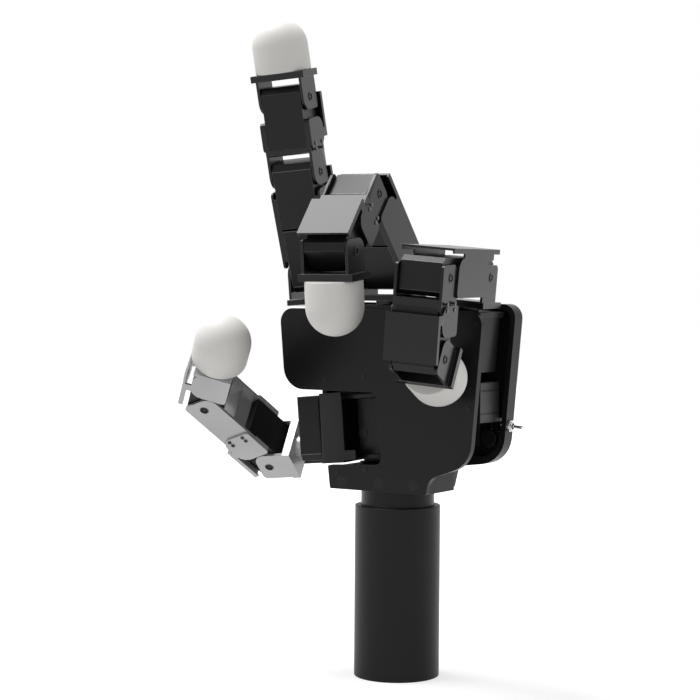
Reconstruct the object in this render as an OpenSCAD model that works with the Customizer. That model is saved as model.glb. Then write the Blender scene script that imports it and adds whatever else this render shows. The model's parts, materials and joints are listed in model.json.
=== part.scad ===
// Left-handed four-digit robot hand on a round post: three fingers and a thumb,
// sixteen geared rotary drives, black metal brackets and white rubber fingertips.
// Frame: origin at the centre of the post's bottom face, +Z up, palm facing -Y,
// thumb and index finger on the -X side. Millimetres and degrees.

/* [Digits] */
// distance between neighbouring finger bases across the palm
finger_pitch = 43.5; // [43:0.1:46]
// width over the side plates of a finger link
finger_width = 27; // [26:0.1:29]
// finger base to first flexion axis
knuckle_length = 16.4; // [16:0.1:20]
// first to second flexion axis of a finger
proximal_length = 54; // [53:0.1:62]
// second to third flexion axis of a finger
middle_length = 38.4; // [38:0.1:44]
// third flexion axis of a finger to the centre of its round tip
tip_reach = 26.7; // [25:0.1:34]
// radius of the rubber fingertips
tip_radius = 14.2; // [12.5:0.1:14.6]
// thumb base to thumb flexion axis
thumb_knuckle_length = 17.7; // [17:0.1:20]
// thumb flexion axis to thumb tip axis
thumb_middle_length = 51.4; // [50:0.1:58]
// thumb tip axis to the centre of its round tip
thumb_tip_reach = 42.3; // [41:0.1:48]

/* [Palm] */
// half width of the palm plates at the top corners
palm_half_width = 60.3; // [59:0.1:62]
// height of the palm plates
palm_height = 92; // [92:0.1:98]
// thickness of the front palm plate
plate_thickness = 3.5; // [2.5:0.1:5]
// front face of the front plate, ahead of the finger axes
palm_front = 11.5; // [11.3:0.1:13]
// depth of the back shell
shell_depth = 8; // [7.6:0.1:10]

/* [Post] */
// diameter of the post
post_diameter = 43.8; // [42:0.1:48]
// length of the post below the collar
post_length = 88.1; // [60:1:160]
// wall of the post tube
post_wall = 3; // [2:0.1:4]
// diameter of the collar between post and palm
collar_diameter = 37.6; // [36:0.1:41]
// side of the square of four tapped holes in the post's base
base_hole_spacing = 20; // [18:0.1:22]
// tapping diameter of the four base holes
base_hole_diameter = 4.2; // [3.3:0.1:5]

/* [Hidden] */
$fn = 48;

// rest pose: joint angles of each digit from base to tip
index_pose = [12, 17, -5, 0];
middle_pose = [6.5, 47, 90.5, 48.5];
palm_gap = 2.3;                     // between the folded ring fingertip and the palm plate
ring_fold = 182.5;                  // first and second bend of the ring finger together
ring_reach = (proximal_length + middle_length * sin(ring_fold) - palm_front - tip_radius - palm_gap) / tip_reach;
ring_pose = [8, 90, 92.5, min(63, 180 + asin(min(1, ring_reach)) - ring_fold)];
thumb_pose = [11, -47.5, 69.1, 51.9];
finger_poses = [index_pose, middle_pose, ring_pose];

// bases of the fingers on the palm and their sideways cant
finger_bases = [[0, -finger_pitch, -1.542], [0, 0, 0.7], [0, finger_pitch, -1.542]];
finger_cants = [5, 0, -5];
thumb_above_wrist = 48.613;            // swing axis above the palm's lower edge
thumb_origin = [-18.2, -19.333, -2.6 - palm_height + thumb_above_wrist];
thumb_knuckle_origin = [-27, -5, 39.9];

// one drive unit and the fork that straddles it
side_out = finger_width / 2;        // outer face of the side plates
arm_out = side_out - 1.1;           // outer face of the fork arms
arm_in = arm_out - 1.4;             // inner face of the fork arms
drive_half = arm_in - 0.4;          // half width of a drive body
drive_deep = 9.3;                   // half depth of a drive body
drive_nose = 6.8;                   // drive body past its own axis
arm_deep = 9.3;                     // half depth of the fork arms
arm_nose = 6.2;                     // fork arm past the axis
bridge_near = 10;                   // near face of the fork bridge
bridge_far = 13.7;                  // far face of the fork bridge
plate_deep = 9.5;                   // half depth of the side plates
dorsal_r = 6.3;                     // dorsal corners of the side plates
plate_start = 10.4;                 // side plates begin this far past an axis
plate_clear = 10.6;                 // and stop this far short of the next one
low_start = 6.5;                    // the same for the long first link of a finger
low_clear = 7.4;
mid_start = 13;                     // side plates of a second link begin here
low_room = 8.6;                     // clear radius round a knuckle axis
lip = 2.5;                          // depth of the folded edges of a dorsal cover
cover_out = 14;                     // outer face of the dorsal cover
cover_in = 12.8;                    // inner face of the dorsal cover
axle_r = 2;
horn_r = 5.5;
horn_deep = 1;
fit = 0.02;                         // seated parts
run = 0.06;                         // turning parts
screw_r = 0.55;
screw_head_r = 1.05;
screw_head_h = 0.4;
screw_rows = [12, 15];              // small screws through side plate and fork arm
screw_x = 4.6;
tip_flange = 3.4;                   // plate under a fingertip
tip_seat = 10.3;                    // start of that plate past the last axis
thumb_tip_seat = 28;                // start of the plate under the thumb tip
thumb_tip_flange = 2;
tip_wide = side_out + 0.9;          // half width of the plates under the tips

// palm
plate_back = palm_front - plate_thickness;
shell_front = -23.3;
shell_back = shell_front - shell_depth;
pocket_floor = shell_front - 5;
palm_top = -2.6;
shell_top = palm_top + 3.2;         // the shell stands a little above the front plate
palm_bottom = palm_top - palm_height;
collar_top = palm_bottom;
collar_height = 8.3;
post_top = collar_top - collar_height;
post_r = post_diameter / 2;
post_x = -9.3;
post_bottom = post_top - post_length;
taper = tan(5);
drive_top = -1.1;
drive_tall = 30;

function arc(cx, cy, r, a0, a1, n = 8) =
  [for (k = [0:n]) [cx + r * cos(a0 + (a1 - a0) * k / n), cy + r * sin(a0 + (a1 - a0) * k / n)]];
function unit(v) = v / norm(v);
// corner points of a closed outline, each corner p[2] rounded, as one polygon
function corner(a, p, b, n = 7) =
  let (r = p[2], u = unit([a[0] - p[0], a[1] - p[1]]), v = unit([b[0] - p[0], b[1] - p[1]]))
  r == 0 ? [[p[0], p[1]]] :
  let (half = acos(u * v) / 2, reach = r / tan(half), w = unit(u + v),
       c = [p[0], p[1]] + w * r / sin(half),
       s = [p[0], p[1]] + u * reach - c, e = [p[0], p[1]] + v * reach - c,
       a0 = atan2(s[1], s[0]), d = atan2(e[1], e[0]) - a0,
       turn = d > 180 ? d - 360 : d < -180 ? d + 360 : d)
  [for (k = [0:n]) c + r * [cos(a0 + turn * k / n), sin(a0 + turn * k / n)]];
function rounded(pts) = let (m = len(pts))
  [for (i = [0:m - 1]) each corner(pts[(i + m - 1) % m], pts[i], pts[(i + 1) % m])];

// ---------------------------------------------------------------- placing
module at_palm() {
  translate([0, 0, -post_bottom]) rotate([0, 0, -90]) translate([-post_x, 0, 0]) children();
}
module at_base(i) {
  at_palm() translate(finger_bases[i]) rotate([finger_cants[i], 0, 0]) children();
}
module at_link(i, n) {
  q = finger_poses[i];
  at_base(i) rotate([0, 0, q[0]]) {
    if (n == 0) children();
    if (n > 0) translate([0, 0, knuckle_length]) rotate([0, q[1], 0]) {
      if (n == 1) children();
      if (n > 1) translate([0, 0, proximal_length]) rotate([0, q[2], 0]) {
        if (n == 2) children();
        if (n > 2) translate([0, 0, middle_length]) rotate([0, q[3], 0]) children();
      }
    }
  }
}
module at_thumb_root() {
  at_palm() translate(thumb_origin) rotate([0, -95, 90]) children();
}
module at_thumb(n) {
  q = thumb_pose;
  at_thumb_root() rotate([q[0], 0, 0]) {
    if (n == 0) children();
    if (n > 0) translate(thumb_knuckle_origin) rotate([0, 0, q[1]]) {
      if (n == 1) children();
      if (n > 1) translate([0, 0, thumb_knuckle_length]) rotate([0, q[2], 0]) {
        if (n == 2) children();
        if (n > 2) translate([0, 0, thumb_middle_length]) rotate([0, q[3], 0]) children();
      }
    }
  }
}

// ---------------------------------------------------------------- shared shapes
// an outline in the bending plane (x, z), thickened sideways from y0 to y1
module slab(y0, y1) {
  translate([0, y1, 0]) rotate([90, 0, 0]) linear_extrude(y1 - y0) children();
}
module both_sides() {
  children();
  mirror([0, 1, 0]) children();
}
module cross_hole(r, y0 = -30, y1 = 30) {
  translate([0, y1, 0]) rotate([90, 0, 0]) cylinder(r = r, h = y1 - y0);
}
// drive body with its output axis at the origin and its far end at z = reach
module drive_body(reach) {
  difference() {
    slab(-drive_half, drive_half)
      polygon([[-drive_deep, reach], [-drive_deep, -3.4], [-6.9, -drive_nose], [6.9, -drive_nose],
               [drive_deep, -3.4], [drive_deep, reach]]);
    cross_hole(axle_r + run);
    both_sides() cross_hole(horn_r + run, drive_half - horn_deep, drive_half + 1);
  }
}
// axle with a horn disc on each side, its ends level with the fork arms
module axle_set() {
  cross_hole(axle_r, -arm_out, arm_out);
  both_sides() cross_hole(horn_r, drive_half - horn_deep + 0.06, arm_in);
}
// outline of one fork arm: round palm-side corner, small corner at the back
module arm_outline(top) {
  polygon(rounded([[-arm_deep, top, 0], [-arm_deep, -arm_nose, 2.4],
                   [arm_deep, -arm_nose, 6.1], [arm_deep, top, 0]]));
}
// small screws at x = +-screw_x on both sides, in rows measured along z
module screw_set(rows) {
  both_sides() for (s = [-1, 1], z = rows) translate([s * screw_x, 0, z]) {
    cross_hole(screw_r, drive_half - 1.5, side_out);
    cross_hole(screw_head_r, side_out, side_out + screw_head_h);
  }
}
module screw_bores(rows) {
  both_sides() for (s = [-1, 1], z = rows) translate([s * screw_x, 0, z])
    cross_hole(screw_r + fit, drive_half - 1.6, side_out + 1);
}
// fork that carries a link: two arms, a bridge and lugs that reach back to z = tail
module fork_solid(tail) {
  both_sides() slab(arm_in, arm_out) arm_outline(tail);
  both_sides() slab(drive_half + fit, arm_out)
    polygon([[-arm_deep, bridge_near], [arm_deep, bridge_near + 1], [arm_deep, tail], [-arm_deep, tail]]);
  slab(-arm_out, arm_out)
    polygon([[-plate_deep, bridge_near], [3.4, bridge_near], [plate_deep, bridge_near + 0.95],
             [plate_deep, bridge_far], [-plate_deep, bridge_far]]);
}
// outline of a side plate from z0 to z1, its dorsal corners swept round
module plate_outline(z0, z1) {
  polygon(rounded([[-plate_deep, z0, dorsal_r], [plate_deep, z0, 2.2],
                   [plate_deep, z1, 2.2], [-plate_deep, z1, dorsal_r]]));
}
// side plates z0..z1, full thickness in thick0..thick1 where they lie on the drive,
// and the dorsal cover cover0..cover1 with folded edges down to lip_end, joined to the
// plates through webs web0..web1
module frame_solid(z0, z1, thick0, thick1, web0, web1, cover0, cover1, lip_end, gap = 0,
                   out = cover_out) {
  both_sides() {
    slab(arm_out + gap, side_out) plate_outline(z0, z1);
    slab(drive_half + fit, side_out) intersection() {
      plate_outline(z0, z1);
      translate([-20, thick0]) square([40, thick1 - thick0]);
    }
    slab(arm_out + gap, side_out) {
      translate([-out, web0]) square([out - plate_deep + 1, web1 - web0]);
      translate([-out, cover0]) square([lip, lip_end - cover0]);
    }
  }
  slab(-side_out, side_out) translate([-out, cover0]) square([cover_out - cover_in, cover1 - cover0]);
}
// turning base of a digit: flange, hub, spigot and two arms up to the first flexion axis
module knuckle_bracket(length) {
  difference() {
    union() {
      slab(-side_out, side_out) translate([-15, 1]) square([25, 3]);
      slab(-arm_out, arm_out) translate([-arm_deep, 1]) square([2 * arm_deep, 3.4]);
      both_sides() slab(arm_in, arm_out)
        translate([0, length]) mirror([0, 1]) arm_outline(length - 1.5);
      translate([0, 0, -1]) cylinder(r = 7, h = 2.5);
      translate([0, 0, -7]) cylinder(r = 3, h = 7);
    }
    translate([0, 0, length]) cross_hole(axle_r + fit);
  }
}
// wall across the palm from x0 to x1, outline in (y, z)
module wall(x0, x1) {
  translate([x0, 0, 0]) rotate([90, 0, 90]) linear_extrude(x1 - x0) children();
}
module bore_x(r, y, z, x0, x1) {
  translate([x0, y, z]) rotate([0, 90, 0]) cylinder(r = r, h = x1 - x0);
}
// rubber fingertip: short barrel and a round end
module tip_shape(seat, centre) {
  translate([0, 0, seat]) cylinder(r = tip_radius, h = centre - seat);
  translate([0, 0, centre]) intersection() {
    sphere(r = tip_radius);
    translate([-20, -20, 0]) cube([40, 40, 60]);
  }
}

// ---------------------------------------------------------------- palm
function half_at(z) = palm_half_width + z * taper;
cut_top = thumb_origin[2] + 1.5;
cut_bottom = thumb_origin[2] - 35;
low = palm_bottom;
small_screw_at = [[-31.7, cut_top + 5.6], [-8.3, cut_top + 7.6], [-23.9, low + 8.6], [-7.2, low + 10.8],
                  [56.3, -8.9], [53.5, low + 53.1], [52.5, low + 44.1]];
large_screw_at = [[-20.9, low + 3.7], [1.1, low + 4.2], [21.5, low + 4.6]];
standoff_at = [[-21.75, -14], [21.75, -14]];
drive_half_y = 10.2;
switch_z = low + 33.6;
board_low = min(low + 22.6, -65.5);   // lower edge of the board
driver_low = min(low + 35.8, -54.6);  // underside of the driver box
socket_z = board_low + 38;
board_at = [[15, board_low + 4], [35, board_low + 4], [15, board_low + 34], [35, board_low + 34]];

module palm_plate() color([0.05, 0.05, 0.055]) at_palm() difference() {
  wall(plate_back, palm_front) polygon(rounded([
    [-half_at(palm_top), palm_top, 7], [-half_at(cut_top), cut_top, 12], [-1, cut_top, 3.5],
    [2.6, cut_bottom, 3.5], [-29.6, cut_bottom - 1.7, 1], [-28.2, low, 1], [28.8, low, 1],
    [30, low + 8.1, 8], [half_at(low + 16.1), low + 16.1, 15], [half_at(palm_top), palm_top, 7]]));
  for (p = small_screw_at) bore_x(0.8 + fit, p[0], p[1], plate_back - 1, palm_front + 1);
  for (p = large_screw_at) {
    bore_x(1.5 + fit, p[0], p[1], plate_back - 1, palm_front + 1);
    bore_x(2.9 + fit, p[0], p[1], palm_front - 1.2, palm_front + 1);
  }
}

module back_shell() color([0.07, 0.07, 0.075]) at_palm() {
  difference() {
    union() {
      wall(shell_back, shell_front) polygon(rounded([
        [-half_at(shell_top), shell_top, 7], [-half_at(low + 13), low + 13, 13], [-31, low + 12, 5.5],
        [-28.2, low, 1], [21.3, low, 1], [24, low + 11.3, 5], [half_at(low + 15), low + 15, 15],
        [half_at(shell_top), shell_top, 7]]));
    }
    wall(pocket_floor, shell_front + 1) polygon(rounded([
      [-half_at(shell_top) + 2.8, shell_top - 2.8, 5], [-half_at(low + 17.3) + 2.8, low + 17.3, 12],
      [half_at(low + 17.3) - 2.8, low + 17.3, 12], [half_at(shell_top) - 2.8, shell_top - 2.8, 5]]));
    translate([pocket_floor, -40, low + 11.2]) cube([20, 34, 10]);
    at_switch_palm() translate([0, 0, -6]) cylinder(r = 2.4 + fit, h = 12);
    for (p = standoff_at) bore_x(1.5 + fit, p[0], p[1], shell_back - 1, pocket_floor + 1);
    translate([shell_back - 1, 20, socket_z]) cube([8, 12, 8]);
  }
  for (p = board_at) bore_x(2.5, p[0], p[1], pocket_floor - 0.2, pocket_floor + 1);
  bore_x(4.2, 44.5, board_low + 4, pocket_floor - 0.2, shell_front - 0.6);
}

module wrist_block() color([0.09, 0.09, 0.095]) at_palm() difference() {
  translate([0, 0, low]) linear_extrude(11.4) polygon([
    [shell_front, -24.3], [-17.5, -27.5], [plate_back, -27.5], [plate_back, 30 - 1.5],
    [-17.5, 28.5], [shell_front, 24.5]]);
  for (p = large_screw_at) bore_x(1.5 + fit, p[0], p[1], plate_back - 8, plate_back + 1);
  for (p = [small_screw_at[2], small_screw_at[3]]) bore_x(0.8 + fit, p[0], p[1], plate_back - 6, plate_back + 1);
}

module wrist_collar() color([0.06, 0.06, 0.065]) at_palm() translate([post_x, 0, 0]) {
  translate([0, 0, post_top]) cylinder(r = collar_diameter / 2, h = collar_height);
  translate([0, 0, post_top - 24]) cylinder(r = post_r - post_wall - fit, h = 24.5);
}

module post() color([0.06, 0.06, 0.065]) difference() {
  cylinder(r = post_r, h = post_length, $fn = 96);
  translate([0, 0, 14]) cylinder(r = post_r - post_wall, h = post_length, $fn = 96);
  for (x = [-1, 1], y = [-1, 1]) translate([x * base_hole_spacing / 2, y * base_hole_spacing / 2, -1])
    cylinder(r = base_hole_diameter / 2, h = 20);
}

module standoffs() color([0.6, 0.6, 0.62]) at_palm()
  for (p = standoff_at) difference() {
    bore_x(3, p[0], p[1], pocket_floor, plate_back);
    bore_x(1.5 + fit, p[0], p[1], pocket_floor - 1, pocket_floor + 8);
  }

module plate_screws() color([0.3, 0.3, 0.32]) at_palm() {
  for (p = small_screw_at) {
    bore_x(0.8, p[0], p[1], p[1] < -80 ? plate_back - 5.5 : plate_back, palm_front + 0.1);
    bore_x(1.3, p[0], p[1], palm_front, palm_front + 0.3);
  }
  for (p = large_screw_at) {
    bore_x(1.5, p[0], p[1], plate_back - 7, palm_front - 0.8);
    bore_x(2.9, p[0], p[1], palm_front - 1.2 + fit, palm_front);
  }
  for (p = standoff_at) {
    bore_x(1.5, p[0], p[1], shell_back, pocket_floor + 7);
    bore_x(2.9, p[0], p[1], shell_back - 1.2, shell_back - fit);
  }
}

module control_board() color([0.02, 0.025, 0.022]) at_palm() {
  translate([pocket_floor + 1 + fit, 11.4, board_low]) cube([1.6, 27, 38]);
  translate([pocket_floor + 2, 14, board_low + 1]) cube([2, 10, 9]);
  translate([pocket_floor + 2, 28, board_low + 2]) cube([1.8, 7, 8]);
}

module driver_module() color([0.1, 0.1, 0.11]) at_palm() difference() {
  translate([-24.5, 14, driver_low]) cube([20, 36.4, 20.1]);
  translate([pocket_floor + 2.62 + fit, 16, driver_low + 1.8]) cube([2, 20, 17]);
  for (z = [4.3, 15.8]) translate([-30, 50, driver_low + z]) cube([30, 2, 0.6]);
  for (z = [4.3, 15.8]) translate([-5, 10, driver_low + z]) cube([2, 50, 0.6]);
}

module power_socket() color([0.02, 0.02, 0.02]) at_palm() difference() {
  translate([shell_back - 2, 20 + fit, socket_z + fit]) cube([7, 12 - 2 * fit, 8 - 2 * fit]);
  translate([shell_back - 3, 22, socket_z + 1.6]) cube([6, 8, 4.8]);
}

module at_switch_palm() {
  translate([shell_front - 3.2, half_at(switch_z) - 0.1, switch_z]) rotate([-95, 0, 0]) children();
}
module at_switch() { at_palm() at_switch_palm() children(); }
module switch_body() color([0.75, 0.75, 0.77]) at_switch() difference() {
  union() {
    translate([0, 0, -3.2]) cylinder(r = 2.4, h = 5.6);
    translate([0, 0, 0.2]) cylinder(r = 3.2, h = 1.4, $fn = 6);
    translate([-1.7, -3.5, -9]) cube([3.4, 7, 6]);
  }
  translate([0, 0, -1.5]) cylinder(r = 1.7, h = 10);
}
module toggle_lever() color([0.85, 0.85, 0.87]) at_switch() {
  sphere(r = 1.4);
  cylinder(r = 0.8, h = 7.6);
  translate([0, 0, 7.6]) sphere(r = 1.05);
}

// vertical drive under a finger: square gearbox with rounded corners and a top flange
module knuckle_drive(i) {
  at_base(i) difference() {
    union() {
      translate([0, 0, drive_top - drive_tall]) linear_extrude(drive_tall - 2.4) polygon(rounded([
        [shell_front, -drive_half_y, 6], [plate_back, -drive_half_y, 1],
        [plate_back, drive_half_y, 1], [shell_front, drive_half_y, 6]]));
      translate([0, 0, drive_top - 2.6]) linear_extrude(2.6) polygon(rounded([
        [shell_front, -drive_half_y - 1, 3], [plate_back, -drive_half_y - 1, 1],
        [plate_back, drive_half_y + 1, 1], [shell_front, drive_half_y + 1, 3]]));
    }
    translate([0, 0, drive_top - 9]) cylinder(r = 3 + run, h = 10);
  }
}
module index_drive() color([0.12, 0.12, 0.125]) knuckle_drive(0);
module middle_drive() color([0.12, 0.12, 0.125]) knuckle_drive(1);
module ring_drive() color([0.12, 0.12, 0.125]) knuckle_drive(2);

module thumb_drive() color([0.12, 0.12, 0.125]) at_thumb_root() difference() {
  union() {
    translate([-31.9, 0, 0]) rotate([90, 0, 90]) linear_extrude(28.7) polygon([
      [-drive_deep, -27], [-drive_deep, 5.6], [-6.6, 8.6], [6.6, 8.6], [drive_deep, 5.6],
      [drive_deep, -27]]);
    translate([-30, 5, -27]) cube([24, thumb_origin[0] - pocket_floor - 5, 18]);
    translate([-21, 0, 3.6]) cross_hole(2.4, -drive_deep - 0.8, -drive_deep + 1);
  }
  for (x = [-8.6, -33]) translate([x, 0, 0]) rotate([0, 90, 0]) cylinder(r = 3 + run, h = 6.7);
}

// ---------------------------------------------------------------- finger pieces
module proximal_drive_low() { drive_body(proximal_length / 2 - 0.6); }
module proximal_drive_high() {
  translate([0, 0, proximal_length]) mirror([0, 0, 1]) drive_body(proximal_length / 2 - 0.4);
}
module proximal_plates() {
  top = proximal_length - low_clear;
  difference() {
    frame_solid(low_start, top, plate_start, proximal_length - plate_clear, 1, top - dorsal_r, -7,
                proximal_length + 0.5, proximal_length + 0.5);
    // room round the knuckle arms
    cross_hole(low_room);
  }
}
module middle_fork() difference() {
  union() {
    fork_solid(17.5);
    frame_solid(mid_start, middle_length - plate_clear, 17, middle_length, 17,
                middle_length - plate_clear - dorsal_r, 17, middle_length + 1.5, middle_length + 1.5);
  }
  cross_hole(axle_r + fit);
  screw_bores(screw_rows);
}
module middle_unit() difference() {
  translate([0, 0, middle_length]) mirror([0, 0, 1]) drive_body(middle_length - bridge_far - fit);
  screw_bores([screw_rows[1]]);
}
module middle_pins() {
  axle_set();
  screw_set(screw_rows);
}
module distal_fork() difference() {
  union() {
    fork_solid(bridge_near + 1.2);
    slab(-tip_wide, tip_wide) translate([-9.6, tip_seat]) square([20.1, tip_flange]);
  }
  cross_hole(axle_r + fit);
}
module finger_tip() { tip_shape(tip_seat + tip_flange, tip_reach); }

black = [0.045, 0.045, 0.05];
casing = [0.06, 0.06, 0.065];
steel = [0.35, 0.35, 0.37];
rubber = [0.93, 0.92, 0.9];

// index finger
module index_knuckle() color(black) at_link(0, 0) knuckle_bracket(knuckle_length);
module index_knuckle_axle() color(steel) at_link(0, 0) translate([0, 0, knuckle_length]) axle_set();
module index_proximal_drive_lower() color(casing) at_link(0, 1) proximal_drive_low();
module index_proximal_drive_upper() color(casing) at_link(0, 1) proximal_drive_high();
module index_proximal_frame() color(black) at_link(0, 1) proximal_plates();
module index_middle_bracket() color(black) at_link(0, 2) middle_fork();
module index_middle_axle() color(steel) at_link(0, 2) middle_pins();
module index_middle_drive() color(casing) at_link(0, 2) middle_unit();
module index_distal_bracket() color(black) at_link(0, 3) distal_fork();
module index_distal_axle() color(steel) at_link(0, 3) axle_set();
module index_fingertip() color(rubber) at_link(0, 3) finger_tip();

// middle finger
module middle_knuckle() color(black) at_link(1, 0) knuckle_bracket(knuckle_length);
module middle_knuckle_axle() color(steel) at_link(1, 0) translate([0, 0, knuckle_length]) axle_set();
module middle_proximal_drive_lower() color(casing) at_link(1, 1) proximal_drive_low();
module middle_proximal_drive_upper() color(casing) at_link(1, 1) proximal_drive_high();
module middle_proximal_frame() color(black) at_link(1, 1) proximal_plates();
module middle_middle_bracket() color(black) at_link(1, 2) middle_fork();
module middle_middle_axle() color(steel) at_link(1, 2) middle_pins();
module middle_middle_drive() color(casing) at_link(1, 2) middle_unit();
module middle_distal_bracket() color(black) at_link(1, 3) distal_fork();
module middle_distal_axle() color(steel) at_link(1, 3) axle_set();
module middle_fingertip() color(rubber) at_link(1, 3) finger_tip();

// ring finger
module ring_knuckle() color(black) at_link(2, 0) knuckle_bracket(knuckle_length);
module ring_knuckle_axle() color(steel) at_link(2, 0) translate([0, 0, knuckle_length]) axle_set();
module ring_proximal_drive_lower() color(casing) at_link(2, 1) proximal_drive_low();
module ring_proximal_drive_upper() color(casing) at_link(2, 1) proximal_drive_high();
module ring_proximal_frame() color(black) at_link(2, 1) proximal_plates();
module ring_middle_bracket() color(black) at_link(2, 2) middle_fork();
module ring_middle_axle() color(steel) at_link(2, 2) middle_pins();
module ring_middle_drive() color(casing) at_link(2, 2) middle_unit();
module ring_distal_bracket() color(black) at_link(2, 3) distal_fork();
module ring_distal_axle() color(steel) at_link(2, 3) axle_set();
module ring_fingertip() color(rubber) at_link(2, 3) finger_tip();

// ---------------------------------------------------------------- thumb
base_face = thumb_knuckle_origin[2] - 1.1;    // end face of the drive in the thumb base
base_drive_y = thumb_knuckle_origin[1];
thumb_rows = [23.6, 26.3];
thumb_tail = 29.4;

module thumb_base() color(black) at_thumb(0) difference() {
  union() {
    // housing, open at its upper end, with a low front wall
    translate([-35.4, 0, 0]) rotate([90, 0, 90]) linear_extrude(34.6) polygon(rounded([
      [-17.5, 12.5, 0.8], [8, 12.5, 0.8], [8, base_face, 1], [-10, base_face, 0],
      [-10, 26.6, 0], [-17.5, 26.6, 2.4]]));
    translate([-2, -17.5, 12.9]) cube([2.9, 3, 12]);
    translate([-34.3, -17.5, 6.8]) cube([5.1, 2, 8]);
    // ears on the thumb drive
    for (x = [-34.4, -2.8]) translate([x, 0, 0]) rotate([90, 0, 90]) linear_extrude(2) union() {
      circle(r = 8.5);
      translate([-8.5, 0]) square([16.5, 13.5]);
    }
    for (x = [-33.4, -8]) translate([x, 0, 0]) rotate([0, 90, 0]) cylinder(r = 3, h = 6.2);
  }
  // pocket for the drive that turns the knuckle
  translate([-33.9, base_drive_y - drive_deep - fit, base_face - 2 * drive_half - fit])
    cube([40, 2 * drive_deep + 2 * fit, 60]);
}
module thumb_base_drive() color(casing) at_thumb(0)
  translate([thumb_knuckle_origin[0], base_drive_y, base_face - drive_half]) difference() {
    rotate([90, 0, 90]) drive_body(26.9);
    translate([0, 0, -drive_half - 1]) cylinder(r = 3 + run, h = 60);
  }
module thumb_knuckle() color(black) at_thumb(1) difference() {
  union() {
    slab(-arm_out - 0.5, arm_out + 0.5) translate([-9.4, 3]) square([18.8, 4.3]);
    both_sides() slab(arm_in, arm_out)
      translate([0, thumb_knuckle_length]) mirror([0, 1]) arm_outline(thumb_knuckle_length - 4);
    translate([0, 0, -1]) cylinder(r = 7, h = 4.5);
    translate([0, 0, -7]) cylinder(r = 3, h = 7);
  }
  translate([0, 0, thumb_knuckle_length]) cross_hole(axle_r + fit);
}
module thumb_knuckle_axle() color(steel) at_thumb(1)
  translate([0, 0, thumb_knuckle_length]) axle_set();
module thumb_proximal_drive() color(casing) at_thumb(2) difference() {
  drive_body(27);
  screw_bores(thumb_rows);
}
module thumb_proximal_frame() color(black) at_thumb(2) difference() {
  frame_solid(plate_start, 28.2, plate_start, 21.9, 14.5, 19.1, -2.5, 20, 20, fit, 12.2);
  screw_bores(thumb_rows);
}
module thumb_fork() color(black) at_thumb(2) difference() {
  translate([0, 0, thumb_middle_length]) mirror([0, 0, 1]) {
    both_sides() slab(arm_in, arm_out) arm_outline(thumb_tail);
    both_sides() slab(drive_half + fit, arm_out) translate([-arm_deep, 14.9])
      square([arm_deep + 6.2, thumb_tail - 14.9]);
    slab(-arm_out, arm_out)
      polygon([[-arm_deep, 14.9], [6.2, 14.9], [6.2, 23.3], [4.8, 23.3], [4.8, 18.4], [-arm_deep, 18.4]]);
  }
  translate([0, 0, thumb_middle_length]) cross_hole(axle_r + fit);
  screw_bores(thumb_rows);
}
module thumb_fork_axle() color(steel) at_thumb(2) {
  translate([0, 0, thumb_middle_length]) axle_set();
  screw_set(thumb_rows);
}
module thumb_distal_drive() color(casing) at_thumb(3) drive_body(thumb_tip_seat - fit);
module thumb_distal_frame() color(black) at_thumb(3) {
  frame_solid(plate_start, thumb_tip_seat + 0.5, plate_start, thumb_tip_seat + 0.5, 14, 18.6, 1,
              thumb_tip_seat, 18.6);
  slab(-tip_wide, tip_wide) translate([-9.6, thumb_tip_seat]) square([19.2, thumb_tip_flange]);
}
module thumb_fingertip() color(rubber) at_thumb(3)
  tip_shape(thumb_tip_seat + thumb_tip_flange, thumb_tip_reach);

// ---------------------------------------------------------------- output
palm_plate();
back_shell();
wrist_block();
wrist_collar();
post();
standoffs();
plate_screws();
control_board();
driver_module();
power_socket();
switch_body();
toggle_lever();
index_drive();
middle_drive();
ring_drive();
thumb_drive();
index_knuckle();
index_knuckle_axle();
index_proximal_drive_lower();
index_proximal_drive_upper();
index_proximal_frame();
index_middle_bracket();
index_middle_axle();
index_middle_drive();
index_distal_bracket();
index_distal_axle();
index_fingertip();
middle_knuckle();
middle_knuckle_axle();
middle_proximal_drive_lower();
middle_proximal_drive_upper();
middle_proximal_frame();
middle_middle_bracket();
middle_middle_axle();
middle_middle_drive();
middle_distal_bracket();
middle_distal_axle();
middle_fingertip();
ring_knuckle();
ring_knuckle_axle();
ring_proximal_drive_lower();
ring_proximal_drive_upper();
ring_proximal_frame();
ring_middle_bracket();
ring_middle_axle();
ring_middle_drive();
ring_distal_bracket();
ring_distal_axle();
ring_fingertip();
thumb_base();
thumb_base_drive();
thumb_knuckle();
thumb_knuckle_axle();
thumb_proximal_drive();
thumb_proximal_frame();
thumb_fork();
thumb_fork_axle();
thumb_distal_drive();
thumb_distal_frame();
thumb_fingertip();
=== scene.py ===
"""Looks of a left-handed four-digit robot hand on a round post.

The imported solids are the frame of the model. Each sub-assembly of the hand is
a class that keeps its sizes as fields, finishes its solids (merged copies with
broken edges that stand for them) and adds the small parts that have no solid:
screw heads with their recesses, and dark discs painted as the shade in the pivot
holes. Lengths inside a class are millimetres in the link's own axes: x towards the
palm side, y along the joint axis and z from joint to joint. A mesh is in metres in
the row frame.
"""

import json
import logging
import math
from dataclasses import dataclass, field
from enum import Enum
from typing import Iterable, Sequence

import bmesh
import bpy
import numpy as np
from mathutils import Matrix, Vector


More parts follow.
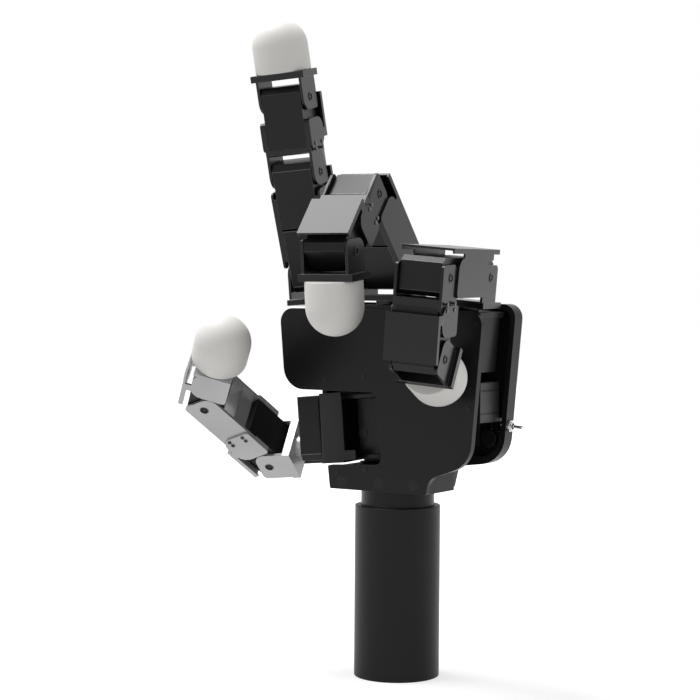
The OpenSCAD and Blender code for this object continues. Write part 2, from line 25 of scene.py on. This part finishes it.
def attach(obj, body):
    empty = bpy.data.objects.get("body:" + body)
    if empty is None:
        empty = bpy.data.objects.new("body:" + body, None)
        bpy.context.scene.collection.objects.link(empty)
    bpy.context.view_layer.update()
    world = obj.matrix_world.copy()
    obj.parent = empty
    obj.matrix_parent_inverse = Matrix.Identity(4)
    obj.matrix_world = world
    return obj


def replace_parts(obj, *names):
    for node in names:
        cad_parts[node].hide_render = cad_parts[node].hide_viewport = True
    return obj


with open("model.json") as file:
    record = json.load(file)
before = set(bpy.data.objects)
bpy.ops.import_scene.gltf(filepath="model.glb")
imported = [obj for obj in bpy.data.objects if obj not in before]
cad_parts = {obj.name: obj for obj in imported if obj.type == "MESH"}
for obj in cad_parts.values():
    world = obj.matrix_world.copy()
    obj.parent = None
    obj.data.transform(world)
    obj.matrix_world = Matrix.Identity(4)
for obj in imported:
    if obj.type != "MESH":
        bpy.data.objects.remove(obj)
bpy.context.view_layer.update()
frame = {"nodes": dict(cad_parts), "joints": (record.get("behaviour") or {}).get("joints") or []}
MM = 0.001
LOG = logging.getLogger("robot_hand")

FINGERS = ("index", "middle", "ring")
TIP_BEND = {"index": 0.0, "middle": 48.5, "ring": 63.0, "thumb": 51.9}


# ------------------------------------------------------------------ finishes
class Grain(Enum):
    """How the fine relief of a finish runs."""

    EVEN = "even"
    BRUSHED = "brushed"


@dataclass(frozen=True)
class Finish:
    """A surface finish: colour, gloss, and the fine relief that breaks the gloss up.

    Lengths are millimetres. `mottle` is how far the colour drifts over the part,
    `wander` how far the roughness does, and `relief` the height of the grain.
    """

    name: str
    colour: tuple[float, float, float]
    roughness: float
    metallic: float = 0.0
    specular: float = 0.5
    mottle: float = 0.15
    wander: float = 0.06
    grain: float = 0.35
    relief: float = 0.004
    run: Grain = Grain.EVEN
    coat: float = 0.0
    sheen: float = 0.0

    def material(self) -> bpy.types.Material:
        """The finish as a node material, made once.

        Returns:
            The material, whose noise reads Object coordinates.
        """
        done = bpy.data.materials.get(self.name)
        if done is not None:
            return done
        mat = bpy.data.materials.new(self.name)
        mat.use_nodes = True
        nodes, links = mat.node_tree.nodes, mat.node_tree.links
        nodes.clear()
        out = nodes.new("ShaderNodeOutputMaterial")
        skin = nodes.new("ShaderNodeBsdfPrincipled")
        links.new(skin.outputs["BSDF"], out.inputs["Surface"])
        skin.inputs["Metallic"].default_value = self.metallic
        skin.inputs["Specular IOR Level"].default_value = self.specular
        skin.inputs["Coat Weight"].default_value = self.coat
        skin.inputs["Coat Roughness"].default_value = 0.25
        skin.inputs["Sheen Weight"].default_value = self.sheen
        where = nodes.new("ShaderNodeTexCoord")
        stretch = nodes.new("ShaderNodeMapping")
        links.new(where.outputs["Object"], stretch.inputs["Vector"])
        along = 0.08 if self.run is Grain.BRUSHED else 1.0
        stretch.inputs["Scale"].default_value = (1.0, 1.0, along)

        drift = self._noise(nodes, links, where.outputs["Object"], 14.0, 3.0)
        tint = nodes.new("ShaderNodeValToRGB")
        tint.color_ramp.elements[0].position = 0.3
        tint.color_ramp.elements[1].position = 0.7
        tint.color_ramp.elements[0].color = self._shade(1.0 - self.mottle)
        tint.color_ramp.elements[1].color = self._shade(1.0 + self.mottle)
        links.new(drift.outputs["Fac"], tint.inputs["Fac"])
        links.new(tint.outputs["Color"], skin.inputs["Base Color"])

        fine = self._noise(nodes, links, stretch.outputs["Vector"], 1.0 / (self.grain * MM), 2.0)
        rough = nodes.new("ShaderNodeMapRange")
        rough.inputs["To Min"].default_value = max(self.roughness - self.wander, 0.03)
        rough.inputs["To Max"].default_value = min(self.roughness + self.wander, 1.0)
        links.new(drift.outputs["Fac"], rough.inputs["Value"])
        links.new(rough.outputs["Result"], skin.inputs["Roughness"])

        bump = nodes.new("ShaderNodeBump")
        bump.inputs["Strength"].default_value = 0.35
        bump.inputs["Distance"].default_value = self.relief * MM
        links.new(fine.outputs["Fac"], bump.inputs["Height"])
        links.new(bump.outputs["Normal"], skin.inputs["Normal"])
        return mat

    def _shade(self, scale: float) -> tuple[float, float, float, float]:
        """The colour times a number, as RGBA."""
        return (*(min(max(c * scale, 0.0), 1.0) for c in self.colour), 1.0)

    @staticmethod
    def _noise(nodes: bpy.types.Nodes, links: bpy.types.NodeLinks, where: bpy.types.NodeSocket,
               scale: float, detail: float) -> bpy.types.Node:
        """A noise node at a scale, fed with coordinates.

        Args:
            nodes: The material's nodes.
            links: The material's links.
            where: The socket that gives the coordinates.
            scale: Cells per metre.
            detail: How many octaves the noise has.

        Returns:
            The noise node.
        """
        noise = nodes.new("ShaderNodeTexNoise")
        noise.inputs["Scale"].default_value = scale
        noise.inputs["Detail"].default_value = detail
        links.new(where, noise.inputs["Vector"])
        return noise


PLATE = Finish("black_anodised_plate", (0.007, 0.007, 0.0075), 0.30, specular=0.16, grain=0.3)
SHELL = Finish("black_anodised_shell", (0.008, 0.008, 0.0085), 0.32, specular=0.17, grain=0.35)
BRACKET = Finish("black_anodised_bracket", (0.008, 0.008, 0.0085), 0.24, specular=0.24, wander=0.03,
                 grain=0.3, relief=0.002)
# Painted reflection: the thumb's brackets, likely black anodised like the others, are coloured pale grey
# here to stand for the white floor mirrored in their sides.
THUMB_BRACKET_PAINTED_REFLECTION = Finish("thumb_bracket_painted_floor_reflection", (0.40, 0.40, 0.405), 0.34, metallic=0.45, specular=0.3,
                       grain=0.3)
# Broken edges: a lighter grey metal that is partly edge wear and partly a painted highlight along the
# chamfers.
EDGE_WEAR_AND_HIGHLIGHT = Finish("broken_edge_wear_and_painted_highlight", (0.10, 0.10, 0.103), 0.28, metallic=0.6, specular=0.4, grain=0.25)
CASING = Finish("gearbox_casing", (0.009, 0.009, 0.0095), 0.3, specular=0.18, mottle=0.2, wander=0.04,
                grain=0.5, relief=0.004)
WRIST = Finish("wrist_black", (0.008, 0.008, 0.0085), 0.36, specular=0.16)
POST = Finish("post_powder_coat", (0.010, 0.010, 0.011), 0.42, specular=0.16, grain=0.6, relief=0.008)
STEEL = Finish("blackened_steel", (0.10, 0.10, 0.105), 0.3, metallic=0.9, grain=0.3, run=Grain.BRUSHED)
DARK_STEEL = Finish("dark_steel", (0.008, 0.008, 0.008), 0.34, metallic=0.0, specular=0.2, grain=0.3)
# Painted shade: near-black matte discs that stand for the shade inside the pivot screw holes; the thumb's
# small screw heads use this finish too.
RECESS = Finish("recess_shadow", (0.004, 0.004, 0.004), 0.7, specular=0.08, mottle=0.0)
NICKEL = Finish("nickel_plate", (0.72, 0.71, 0.69), 0.16, metallic=1.0, mottle=0.04, wander=0.04, grain=0.4)
SPACER = Finish("satin_aluminium", (0.16, 0.16, 0.163), 0.35, metallic=1.0, mottle=0.06, run=Grain.BRUSHED)
BOARD = Finish("solder_mask", (0.008, 0.010, 0.009), 0.35, specular=0.4, mottle=0.3, grain=1.5, relief=0.01)
MODULE = Finish("moulded_module", (0.02, 0.02, 0.021), 0.42, specular=0.5, grain=0.4, relief=0.008)
SOCKET = Finish("socket_black", (0.012, 0.012, 0.012), 0.45, specular=0.4)
RUBBER = Finish("silicone_rubber", (0.80, 0.785, 0.755), 0.52, specular=0.35, mottle=0.015, wander=0.05,
                grain=0.5, relief=0.006)


# ------------------------------------------------------------------ places
@dataclass(frozen=True)
class Axes:
    """A link's own axes in the row frame."""

    origin: np.ndarray
    turn: np.ndarray

    def to_row(self, points: np.ndarray) -> np.ndarray:
        """Millimetres in the link's axes to metres in the row frame."""
        return self.origin + (np.asarray(points, float) * MM) @ self.turn.T

    def moved(self, shift: Sequence[float], turn: np.ndarray | None = None) -> "Axes":
        """Axes shifted by millimetres in these ones, and turned by a matrix.

        Args:
            shift: Where the new origin is, in these axes.
            turn: The new axes as columns in these ones, or None for the same.

        Returns:
            The new axes.
        """
        inner = np.eye(3) if turn is None else turn
        return Axes(self.to_row(np.asarray(shift, float)), self.turn @ inner)


def unit(v: Sequence[float]) -> np.ndarray:
    """The vector at length one."""
    v = np.asarray(v, float)
    return v / np.linalg.norm(v)


def axes_from(origin: Sequence[float], y: Sequence[float], z: Sequence[float]) -> Axes:
    """Axes at a point in metres, with z kept and y squared up to it."""
    z = unit(z)
    y = unit(np.asarray(y, float) - np.dot(y, z) * z)
    return Axes(np.asarray(origin, float), np.column_stack([np.cross(y, z), y, z]))


def bend(degrees: float) -> np.ndarray:
    """A turn about y, as a matrix."""
    c, s = math.cos(math.radians(degrees)), math.sin(math.radians(degrees))
    return np.array([[c, 0.0, s], [0.0, 1.0, 0.0], [-s, 0.0, c]])


def link_axes() -> dict[str, Axes]:
    """The axes of the palm and of every link at rest.

    The joints of the frame give them: a link starts on its joint, its y is the
    bending axis, and its z points at the next joint. The last link of a digit
    is turned from the one before by the bend of its tip.

    Returns:
        Axes by body name.
    """
    pins = {j["name"]: (np.array(j["pos_m"], float), np.array(j["axis"], float)) for j in frame["joints"]}
    found = {}
    for digit in (*FINGERS, "thumb"):
        root, base, tip = pins[f"{digit}_spread"], pins[f"{digit}_base"], pins[f"{digit}_tip"]
        found[f"{digit}_knuckle_link"] = axes_from(root[0], base[1], root[1])
        hinge = tip if digit == "thumb" else pins[f"{digit}_middle"]
        found[f"{digit}_proximal_link"] = axes_from(base[0], base[1], hinge[0] - base[0])
        last = found[f"{digit}_proximal_link"]
        if digit != "thumb":
            last = axes_from(hinge[0], hinge[1], tip[0] - hinge[0])
            found[f"{digit}_middle_link"] = last
        found[f"{digit}_distal_link"] = Axes(tip[0], last.turn @ bend(TIP_BEND[digit]))
    swing, spread = pins["thumb_swing"], pins["thumb_spread"]
    found["thumb_root_link"] = axes_from(swing[0], np.cross(spread[1], swing[1]), spread[1])
    middle = pins["middle_spread"]
    found["palm"] = Axes(middle[0] - 0.7 * MM * middle[1],
                         np.array([[0.0, 1.0, 0.0], [-1.0, 0.0, 0.0], [0.0, 0.0, 1.0]]))
    lever = pins["toggle_tilt"]
    found["toggle"] = Axes(lever[0], np.eye(3))
    return found


AXES = link_axes()


# ------------------------------------------------------------------ surfaces
@dataclass
class Shape:
    """Points and faces of a closed surface, gathered from grids."""

    points: list[np.ndarray] = field(default_factory=list)
    faces: list[np.ndarray] = field(default_factory=list)
    count: int = 0

    def add(self, points: np.ndarray, quads: np.ndarray) -> None:
        """Takes in more points and the quads among them."""
        self.points.append(points.reshape(-1, 3))
        self.faces.append(quads + self.count)
        self.count += points.reshape(-1, 3).shape[0]

    def grid(self, points: np.ndarray, round_v: bool = True) -> None:
        """Takes in a grid of points P[u, v] and joins neighbours by quads.

        Args:
            points: The grid, u by v by 3.
            round_v: True where the last column joins the first.
        """
        nu, nv = points.shape[:2]
        u, v = np.meshgrid(np.arange(nu - 1), np.arange(nv if round_v else nv - 1), indexing="ij")
        w = (v + 1) % nv
        quads = np.stack([u * nv + v, u * nv + w, (u + 1) * nv + w, (u + 1) * nv + v], -1)
        self.add(points, quads.reshape(-1, 4))

    def piece(self, name: str, body: str, slot: str, finishes: Sequence[Finish],
              smooth: float = 35.0) -> bpy.types.Object:
        """The surface as a piece of the hand.

        Doubled points, such as the poles and the ends of a closed grid, are
        merged, and the faces are turned to look outwards.

        Args:
            name: The piece's name.
            body: The body that it rides on.
            slot: The material slot of the record; not used.
            finishes: One finish for each material of the piece.
            smooth: Edges sharper than this many degrees stay crisp.

        Returns:
            The object.
        """
        mesh = bpy.data.meshes.new(name)
        mesh.from_pydata(np.concatenate(self.points).tolist(), [], np.concatenate(self.faces).tolist())
        work = bmesh.new()
        work.from_mesh(mesh)
        bmesh.ops.remove_doubles(work, verts=work.verts, dist=2e-6)
        bmesh.ops.recalc_face_normals(work, faces=work.faces)
        work.to_mesh(mesh)
        work.free()
        return enlist(bpy.data.objects.new(name, mesh), body, finishes, smooth)


def enlist(obj: bpy.types.Object, body: str, finishes: Sequence[Finish],
           smooth: float = 35.0) -> bpy.types.Object:
    """Puts an object in the scene as a piece on a body, with its finishes and shading.

    Args:
        obj: The object.
        body: The body that it rides on.
        finishes: Its finishes, in the order of its material slots.
        smooth: Faces that meet at less than this many degrees are shaded as one.

    Returns:
        The object.
    """
    if obj.name not in bpy.context.scene.collection.objects:
        bpy.context.scene.collection.objects.link(obj)
    obj.data.materials.clear()
    for finish in finishes:
        obj.data.materials.append(finish.material())
    obj.data.shade_smooth()
    obj.data.set_sharp_from_angle(angle=math.radians(smooth))
    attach(obj, body)
    LOG.info("%s on %s", obj.name, body)
    return obj


def turned(profile: Sequence[tuple[float, float]], axes: Axes, sides: int = 48) -> np.ndarray:
    """A profile turned round the z axis: P(u, a) = (r(u) cos a, r(u) sin a, h(u)).

    Args:
        profile: Radius and height of each ring, from one end to the other.
        axes: The axes that the profile stands in.
        sides: How many steps go round.

    Returns:
        The grid of points in the row frame.
    """
    r, h = np.asarray(profile, float).T
    a = np.linspace(0.0, 2.0 * np.pi, sides, endpoint=False)
    grid = np.stack([np.outer(r, np.cos(a)), np.outer(r, np.sin(a)), np.outer(h, np.ones_like(a))], -1)
    return axes.to_row(grid)


# turns that lay a part's own z along y, -y, x or -x of a link
FACING = {
    "+y": np.array([[1.0, 0.0, 0.0], [0.0, 0.0, 1.0], [0.0, -1.0, 0.0]]),
    "-y": np.array([[1.0, 0.0, 0.0], [0.0, 0.0, -1.0], [0.0, 1.0, 0.0]]),
    "+x": np.array([[0.0, 0.0, 1.0], [1.0, 0.0, 0.0], [0.0, 1.0, 0.0]]),
    "-x": np.array([[0.0, 0.0, -1.0], [-1.0, 0.0, 0.0], [0.0, 1.0, 0.0]]),
}


@dataclass(frozen=True)
class ScrewHead:
    """A button head with a round recess, standing on a face."""

    radius: float
    height: float
    recess: float

    def into(self, shape: Shape, axes: Axes, sides: int = 24) -> None:
        """Adds the head: up its side, over a rounded rim and down into its recess.

        Args:
            shape: The surface that takes it in.
            axes: Axes on the face, z outwards.
            sides: How many steps go round.
        """
        r, h, c = self.radius, self.height, self.recess
        rim = min(0.3 * h, 0.15 * r)
        profile = [(0.0, -0.05), (r, -0.05), (r, h - rim), (r - 0.3 * rim, h - 0.3 * rim), (r - rim, h),
                   (c, h), (c * 0.94, h - 0.06), (c * 0.94, 0.25 * h), (0.0, 0.25 * h)]
        shape.grid(turned(profile, axes, sides))


def slab(outline: np.ndarray, y0: float, y1: float, cut: float, axes: Axes) -> np.ndarray:
    """An outline in (x, z) carried along y, with its rims broken.

    The rim is the outline drawn in towards its middle by the cut, and each end
    closes on that middle, so the outline must be star-shaped round it.

    Args:
        outline: The corners, going round.
        y0: Where the slab starts.
        y1: Where it ends.
        cut: Width of the broken rim.
        axes: The axes that the outline is in.

    Returns:
        The grid of points in the row frame.
    """
    outline = np.asarray(outline, float)
    mid = outline.mean(0)
    arm = outline - mid
    size = np.linalg.norm(arm, axis=1, keepdims=True)
    drawn = mid + arm * (size - cut) / size
    flat = np.stack([np.broadcast_to(mid, drawn.shape), drawn, outline, outline, drawn,
                     np.broadcast_to(mid, drawn.shape)])
    high = np.array([y0, y0, y0 + cut, y1 - cut, y1, y1])
    grid = np.stack([flat[..., 0], np.broadcast_to(high[:, None], flat.shape[:2]), flat[..., 1]], -1)
    return axes.to_row(grid)


# ------------------------------------------------------------------ solids
@dataclass(frozen=True)
class Dress:
    """How a solid of the frame is finished: its finishes and broken edges."""

    slot: str
    finish: Finish
    edge: Finish = EDGE_WEAR_AND_HIGHLIGHT
    bevel: float = 0.25
    limit: float = 32.0

    def put_on(self, node: str, body: str) -> bpy.types.Object:
        """Stands a merged copy with broken edges in the place of a solid.

        Args:
            node: The solid's name.
            body: The body that it rides on.

        Returns:
            The copy.
        """
        mesh = frame["nodes"][node].data.copy()
        work = bmesh.new()
        work.from_mesh(mesh)
        bmesh.ops.remove_doubles(work, verts=work.verts, dist=1.5e-6)
        bmesh.ops.dissolve_limit(work, angle_limit=math.radians(0.6), verts=work.verts, edges=work.edges)
        work.to_mesh(mesh)
        work.free()
        piece = enlist(bpy.data.objects.new(f"{node}_dressed", mesh), body,
                       (self.finish, self.edge))
        if self.bevel > 0:
            rim = piece.modifiers.new("broken edges", "BEVEL")
            rim.width = self.bevel * MM
            rim.segments = 2
            rim.limit_method = "ANGLE"
            rim.angle_limit = math.radians(self.limit)
            rim.use_clamp_overlap = True
            rim.harden_normals = True
            # the chamfer faces take the edge finish, which paints a highlight along them as well as the wear
            rim.material = 1
            rim.miter_outer = "MITER_ARC"
        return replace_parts(piece, node)


# ------------------------------------------------------------------ digits
@dataclass
class Tip:
    """A silicone fingertip: a short barrel that runs into a half ball."""

    digit: str
    radius: float = 14.2
    seat: float = 13.7
    centre: float = 26.7

    def build(self) -> bpy.types.Object:
        """The skin: a flat foot, a small rounded foot edge, the barrel and the half ball."""
        foot = [(0.0, self.seat), (self.radius - 0.8, self.seat)]
        foot += [(self.radius - 0.8 + 0.8 * math.sin(a), self.seat + 0.8 - 0.8 * math.cos(a))
                 for a in np.linspace(0.2, math.pi / 2, 5)]
        ball = [(self.radius * math.cos(a), self.centre + self.radius * math.sin(a))
                for a in np.linspace(0.0, math.pi / 2, 26)]
        shape = Shape()
        shape.grid(turned(foot + ball, AXES[f"{self.digit}_distal_link"], 72))
        body = f"{self.digit}_distal_link"
        skin = shape.piece(f"{self.digit}_fingertip_skin", body, "fingertip", (RUBBER,), 50)
        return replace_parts(skin, f"{self.digit}_fingertip")


@dataclass
class Finger:
    """A finger: turning knuckle, two-drive first link, one-drive second link, tip bracket."""

    digit: str
    arm_out: float = 12.4
    side_out: float = 13.5
    knuckle_length: float = 16.4
    screw_x: float = 4.6
    screw_rows: tuple[float, float] = (12.0, 15.0)
    pivot: ScrewHead = ScrewHead(2.3, 0.3, 1.75)
    # socket: a thin near-black disc on each pivot head, painted shade of the hole
    socket: ScrewHead = ScrewHead(1.75, 0.12, 0.9)
    small: ScrewHead = ScrewHead(1.0, 0.45, 0.42)
    metal: Finish = STEEL

    def build(self) -> None:
        """Dresses the solids of the finger and adds its small parts."""
        d = self.digit
        bracket, case = Dress("bracket", BRACKET), Dress("drive_casing", CASING, bevel=0.35)
        pins = Dress("axle", STEEL, STEEL, bevel=0.12)
        knuckle, first, second, last = (f"{d}_{k}_link" for k in ("knuckle", "proximal", "middle", "distal"))
        bracket.put_on(f"{d}_knuckle", knuckle)
        pins.put_on(f"{d}_knuckle_axle", knuckle)
        for node in (f"{d}_proximal_drive_lower", f"{d}_proximal_drive_upper"):
            case.put_on(node, first)
        bracket.put_on(f"{d}_proximal_frame", first)
        bracket.put_on(f"{d}_middle_bracket", second)
        pins.put_on(f"{d}_middle_axle", second)
        case.put_on(f"{d}_middle_drive", second)
        bracket.put_on(f"{d}_distal_bracket", last)
        pins.put_on(f"{d}_distal_axle", last)
        Tip(d).build()
        self.heads(knuckle, (self.knuckle_length,), ())
        self.heads(second, (0.0,), self.screw_rows)
        self.heads(last, (0.0,), ())

    def heads(self, body: str, pivots: Iterable[float], rows: Sequence[float]) -> None:
        """Screw heads on both sides of a link.

        Args:
            body: The link.
            pivots: Where along the link the pivot screws are.
            rows: Where along it the rows of small screws are.
        """
        rims, painted_shade_wells, heads = Shape(), Shape(), Shape()
        for side, face in (("+y", 1.0), ("-y", -1.0)):
            for z in pivots:
                seat = AXES[body].moved((0.0, face * self.arm_out, z), FACING[side])
                self.pivot.into(rims, seat)
                # a near-black disc on each pivot head is painted shade of its hole
                self.socket.into(painted_shade_wells, seat)
            for z in rows:
                for x in (-self.screw_x, self.screw_x):
                    self.small.into(heads, AXES[body].moved((x, face * self.side_out, z), FACING[side]), 14)
        rims.piece(f"{body}_pivot_rims", body, "fasteners", (BRACKET,))
        painted_shade_wells.piece(f"{body}_pivot_painted_shade_wells", body, "fasteners", (RECESS,))
        if rows:
            heads.piece(f"{body}_screw_heads", body, "fasteners", (self.metal,))


@dataclass
class Thumb:
    """The thumb: swinging root, turning knuckle, two links and a tip."""

    arm_out: float = 12.4
    side_out: float = 13.5
    knuckle_length: float = 17.7
    middle_length: float = 51.4
    screw_x: float = 4.6
    screw_rows: tuple[float, float] = (23.6, 26.3)

    def build(self) -> None:
        """Dresses the solids of the thumb and adds its small parts."""
        bracket, case = Dress("bracket", BRACKET), Dress("drive_casing", CASING, bevel=0.35)
        # the thumb's knuckle, frame, fork and distal frame take the pale colour, a painted reflection of the
        # floor
        pins, pale = Dress("axle", STEEL, STEEL, bevel=0.12), Dress("bracket", THUMB_BRACKET_PAINTED_REFLECTION)
        root, knuckle, first, last = (f"thumb_{k}_link" for k in ("root", "knuckle", "proximal", "distal"))
        bracket.put_on("thumb_base", root)
        case.put_on("thumb_base_drive", root)
        pale.put_on("thumb_knuckle", knuckle)
        pins.put_on("thumb_knuckle_axle", knuckle)
        case.put_on("thumb_proximal_drive", first)
        pale.put_on("thumb_proximal_frame", first)
        pale.put_on("thumb_fork", first)
        pins.put_on("thumb_fork_axle", first)
        case.put_on("thumb_distal_drive", last)
        pale.put_on("thumb_distal_frame", last)
        Tip("thumb", seat=30.0, centre=42.3).build()
        screws = Finger("thumb", screw_rows=self.screw_rows, small=ScrewHead(0.95, 0.42, 0.3), metal=RECESS)
        screws.heads(knuckle, (self.knuckle_length,), ())
        screws.heads(first, (self.middle_length,), self.screw_rows)


# ------------------------------------------------------------------ palm
@dataclass
class Palm:
    """The palm: front plate, back shell, wrist, post and what is held between them."""

    def build(self) -> None:
        """Dresses the solids that ride on the palm."""
        for node, dress in {
            "palm_plate": Dress("palm_plate", PLATE, bevel=0.4),
            "back_shell": Dress("back_shell", SHELL, bevel=0.8),
            "wrist_block": Dress("wrist", WRIST, bevel=0.4),
            "wrist_collar": Dress("wrist", WRIST, bevel=0.4),
            "post": Dress("post", POST, POST, bevel=0.6),
            "standoffs": Dress("fasteners", SPACER, SPACER, bevel=0.2),
            "plate_screws": Dress("fasteners", DARK_STEEL, DARK_STEEL, bevel=0.1),
            "control_board": Dress("circuit_board", BOARD, BOARD, bevel=0.1),
            "driver_module": Dress("driver_module", MODULE, MODULE, bevel=0.5),
            "power_socket": Dress("socket", SOCKET, SOCKET, bevel=0.2),
            "switch_body": Dress("switch_metal", NICKEL, NICKEL, bevel=0.15),
            "index_drive": Dress("drive_casing", CASING, bevel=0.4),
            "middle_drive": Dress("drive_casing", CASING, bevel=0.4),
            "ring_drive": Dress("drive_casing", CASING, bevel=0.4),
            "thumb_drive": Dress("drive_casing", CASING, bevel=0.4),
        }.items():
            dress.put_on(node, "palm")
        Dress("switch_metal", NICKEL, NICKEL, bevel=0.05).put_on("toggle_lever", "toggle")


# ------------------------------------------------------------------ studio
@dataclass(frozen=True)
class SoftBox:
    """A rectangular lamp that looks at a point."""

    name: str
    where: tuple[float, float, float]
    width: float
    depth: float
    radiance: float

    def build(self, target: Sequence[float]) -> bpy.types.Object:
        """Hangs the lamp at its place, facing a point.

        Args:
            target: The point that the lamp looks at, in metres.

        Returns:
            The lamp.
        """
        lamp = bpy.data.lights.new(self.name, "AREA")
        lamp.shape, lamp.size, lamp.size_y = "RECTANGLE", self.width, self.depth
        lamp.energy = self.radiance * math.pi * self.width * self.depth
        obj = bpy.data.objects.new(self.name, lamp)
        bpy.context.scene.collection.objects.link(obj)
        obj.location = self.where
        obj.rotation_mode = "QUATERNION"
        obj.rotation_quaternion = (Vector(target) - Vector(self.where)).to_track_quat("-Z", "Y")
        return obj


@dataclass
class Studio:
    """White floor and surround, soft lamps, and the camera."""

    target: tuple[float, float, float] = (0.0, -0.0093, 0.171)
    turn: float = 31.292
    rise: float = 1.749
    distance: float = 0.94303
    lens: float = 95.273
    shift: tuple[float, float] = (-0.05653, -0.00929)
    roll: float = 0.45
    floor_size: float = 6.0
    floor_colour: float = 0.6
    floor_sides: int = 96
    shadow_reach: tuple[float, float] = (0.15, 0.9)
    floor_glow: tuple[float, float] = (0.6, 1.0)
    fill: float = 0.52

    def build(self) -> None:
        """Builds the surround, the lamps and the camera."""
        self.world()
        self.floor()
        for box in (
            SoftBox("overhead_lamp", (-0.42, -0.12, 1.25), 0.70, 0.55, 11.5),
            SoftBox("side_lamp", (1.6, 0.5, 0.75), 0.5, 0.5, 1.5),
        ):
            box.build(self.target)
        self.camera()

    @staticmethod
    def seen_directly(nodes: bpy.types.Nodes, links: bpy.types.NodeLinks) -> bpy.types.NodeSocket:
        """One for rays that come from the eye, from a mirror or through glass, else nought.

        Args:
            nodes: The nodes of the material or surround.
            links: The links between them.

        Returns:
            The socket that carries the one or the nought.
        """
        path = nodes.new("ShaderNodeLightPath")
        total = path.outputs["Is Camera Ray"]
        for other in ("Is Glossy Ray", "Is Transmission Ray"):
            add = nodes.new("ShaderNodeMath")
            add.operation, add.use_clamp = "ADD", True
            links.new(total, add.inputs[0])
            links.new(path.outputs[other], add.inputs[1])
            total = add.outputs[0]
        return total

    def world(self) -> None:
        """A surround that is white to the eye and in gloss, and a plain soft fill for all other light."""
        world = bpy.data.worlds.new("surround")
        bpy.context.scene.world = world
        world.use_nodes = True
        nodes, links = world.node_tree.nodes, world.node_tree.links
        nodes.clear()
        out = nodes.new("ShaderNodeOutputWorld")
        plain, white = (nodes.new("ShaderNodeBackground") for _ in range(2))
        for light, strength in ((plain, self.fill), (white, 1.0)):
            light.inputs["Color"].default_value = (1.0, 1.0, 1.0, 1.0)
            light.inputs["Strength"].default_value = strength
        mix = nodes.new("ShaderNodeMixShader")
        links.new(self.seen_directly(nodes, links), mix.inputs["Fac"])
        links.new(plain.outputs["Background"], mix.inputs[1])
        links.new(white.outputs["Background"], mix.inputs[2])
        links.new(mix.outputs["Shader"], out.inputs["Surface"])

    def floor(self) -> None:
        """A pale round floor that keeps the hand's shadow and fades into the white."""
        mat = bpy.data.materials.new("studio_floor")
        mat.use_nodes = True
        nodes, links = mat.node_tree.nodes, mat.node_tree.links
        nodes.clear()
        out = nodes.new("ShaderNodeOutputMaterial")
        chalk, glow, both = (nodes.new(f"ShaderNode{k}") for k in ("BsdfDiffuse", "Emission", "AddShader"))
        chalk.inputs["Color"].default_value = (*(self.floor_colour,) * 3, 1.0)
        glow.inputs["Color"].default_value = (1.0, 1.0, 1.0, 1.0)
        where, reach = nodes.new("ShaderNodeTexCoord"), nodes.new("ShaderNodeVectorMath")
        reach.operation = "LENGTH"
        links.new(where.outputs["Object"], reach.inputs[0])
        fade = nodes.new("ShaderNodeMapRange")
        fade.interpolation_type = "SMOOTHSTEP"
        ends = ("From Min", "From Max", "To Min", "To Max")
        for socket, value in zip(ends, self.shadow_reach + self.floor_glow):
            fade.inputs[socket].default_value = value
        links.new(reach.outputs["Value"], fade.inputs["Value"])
        level = nodes.new("ShaderNodeMath")
        level.operation = "MULTIPLY"
        links.new(fade.outputs["Result"], level.inputs[0])
        links.new(self.seen_directly(nodes, links), level.inputs[1])
        links.new(level.outputs[0], glow.inputs["Strength"])
        links.new(chalk.outputs["BSDF"], both.inputs[0])
        links.new(glow.outputs["Emission"], both.inputs[1])
        links.new(both.outputs["Shader"], out.inputs["Surface"])
        mesh = bpy.data.meshes.new("studio_floor")
        a = np.linspace(0.0, 2.0 * np.pi, self.floor_sides, endpoint=False)
        rim = np.stack([np.cos(a), np.sin(a), a * 0], -1) * self.floor_size / 2
        mesh.from_pydata(rim.tolist(), [], [list(range(self.floor_sides))])
        floor = bpy.data.objects.new("studio_floor", mesh)
        floor.data.materials.append(mat)
        bpy.context.scene.collection.objects.link(floor)

    def camera(self) -> None:
        """The camera, which looks at the target from the right of the palm."""
        t, r = math.radians(self.turn), math.radians(self.rise)
        back = Vector((math.sin(t) * math.cos(r), -math.cos(t) * math.cos(r), math.sin(r)))
        data = bpy.data.cameras.new("camera")
        data.sensor_width, data.lens = 36.0, self.lens
        data.shift_x, data.shift_y = self.shift
        data.clip_start, data.clip_end = 0.05, 30.0
        cam = bpy.data.objects.new("camera", data)
        bpy.context.scene.collection.objects.link(cam)
        upright = (-back).to_track_quat("-Z", "Y").to_matrix().to_4x4()
        cam.matrix_world = (Matrix.Translation(Vector(self.target) + back * self.distance) @ upright
                            @ Matrix.Rotation(math.radians(self.roll), 4, "Z"))
        bpy.context.scene.camera = cam
        bpy.context.scene.view_settings.view_transform = "Standard"


def main() -> None:
    """Builds the studio, the palm and the digits, in order."""
    logging.basicConfig(level=logging.INFO)
    Studio().build()
    Palm().build()
    for digit in FINGERS:
        Finger(digit).build()
    Thumb().build()


if __name__ == "__main__":
    main()
